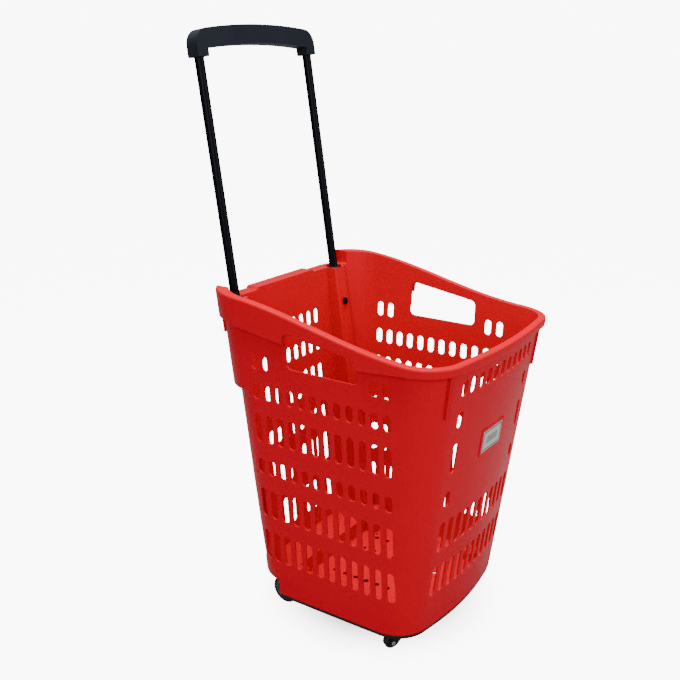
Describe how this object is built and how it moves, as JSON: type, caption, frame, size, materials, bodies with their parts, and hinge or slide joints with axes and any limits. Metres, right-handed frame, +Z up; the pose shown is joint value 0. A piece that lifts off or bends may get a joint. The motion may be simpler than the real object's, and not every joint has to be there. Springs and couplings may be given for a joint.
{
  "type": "rolling basket trolley",
  "caption": "Deep tapered slotted plastic basket with a swept rim and hand holds, rear wheels, front swivel casters and a sliding two-rod pull handle.",
  "frame": {"origin": "on the floor, at the middle of the footprint of the whole trolley with its handle up", "axes": "+Z up, -Y towards the low front of the basket, +Y towards the pull handle, +X completes a right-handed frame"},
  "size_m": [0.3986, 0.4927, 0.9408],
  "materials": {
    "red_plastic": "gloss",
    "black_plastic": "satin",
    "grip_plastic": "satin",
    "grey_plastic": "satin",
    "white_plastic": "satin",
    "black_steel": "satin",
    "zinc_steel": "satin",
    "black_rubber": "matte",
    "label_card": "satin"
  },
  "bodies": {
    "basket": {"basket_tub": "red_plastic", "base_frame": "black_plastic", "base_screws": "zinc_steel", "front_label": "label_card", "guide_tube_left": "grey_plastic", "guide_tube_right": "grey_plastic", "top_bush_left": "black_plastic", "top_bush_right": "black_plastic", "guide_screws": "black_steel", "rear_axle": "zinc_steel", "axle_caps": "zinc_steel", "caster_bush_left": "grey_plastic", "caster_bush_right": "grey_plastic"},
    "handle": {"handle_grip": "grip_plastic", "grip_screws": "black_steel", "handle_rod_left": "black_steel", "handle_rod_right": "black_steel", "rod_foot_left": "white_plastic", "rod_foot_right": "white_plastic"},
    "rear_wheel_left": {"rear_hub_left": "grey_plastic", "rear_tyre_left": "black_rubber"},
    "caster_swivel_left": {"caster_fork_left": "black_plastic", "caster_pin_left": "zinc_steel", "pin_clip_left": "zinc_steel", "caster_axle_left": "zinc_steel"},
    "caster_roller_left": {"caster_wheel_left": "black_rubber"},
    "rear_wheel_right": {"rear_hub_right": "grey_plastic", "rear_tyre_right": "black_rubber"},
    "caster_swivel_right": {"caster_fork_right": "black_plastic", "caster_pin_right": "zinc_steel", "pin_clip_right": "zinc_steel", "caster_axle_right": "zinc_steel"},
    "caster_roller_right": {"caster_wheel_right": "black_rubber"}
  },
  "joints": [
    {"name": "handle_slide", "type": "slide", "parent": "basket", "child": "handle", "axis": [0, 0.1518, 0.9884], "range_m": [-0.364, 0]},
    {"name": "rear_wheel_left_spin", "type": "hinge", "parent": "basket", "child": "rear_wheel_left", "pos_m": [-0.121, 0.0885, 0.025], "axis": [1, 0, 0], "continuous": true},
    {"name": "rear_wheel_right_spin", "type": "hinge", "parent": "basket", "child": "rear_wheel_right", "pos_m": [0.121, 0.0885, 0.025], "axis": [1, 0, 0], "continuous": true},
    {"name": "caster_left_swivel", "type": "hinge", "parent": "basket", "child": "caster_swivel_left", "pos_m": [-0.125, -0.131, 0.027], "axis": [0, 0, 1], "continuous": true},
    {"name": "caster_left_spin", "type": "hinge", "parent": "caster_swivel_left", "child": "caster_roller_left", "pos_m": [-0.13453, -0.1255, 0.012], "axis": [0.5, 0.866, 0], "continuous": true},
    {"name": "caster_right_swivel", "type": "hinge", "parent": "basket", "child": "caster_swivel_right", "pos_m": [0.125, -0.131, 0.027], "axis": [0, 0, 1], "continuous": true},
    {"name": "caster_right_spin", "type": "hinge", "parent": "caster_swivel_right", "child": "caster_roller_right", "pos_m": [0.13453, -0.1255, 0.012], "axis": [0.5, -0.866, 0], "continuous": true}
  ]
}
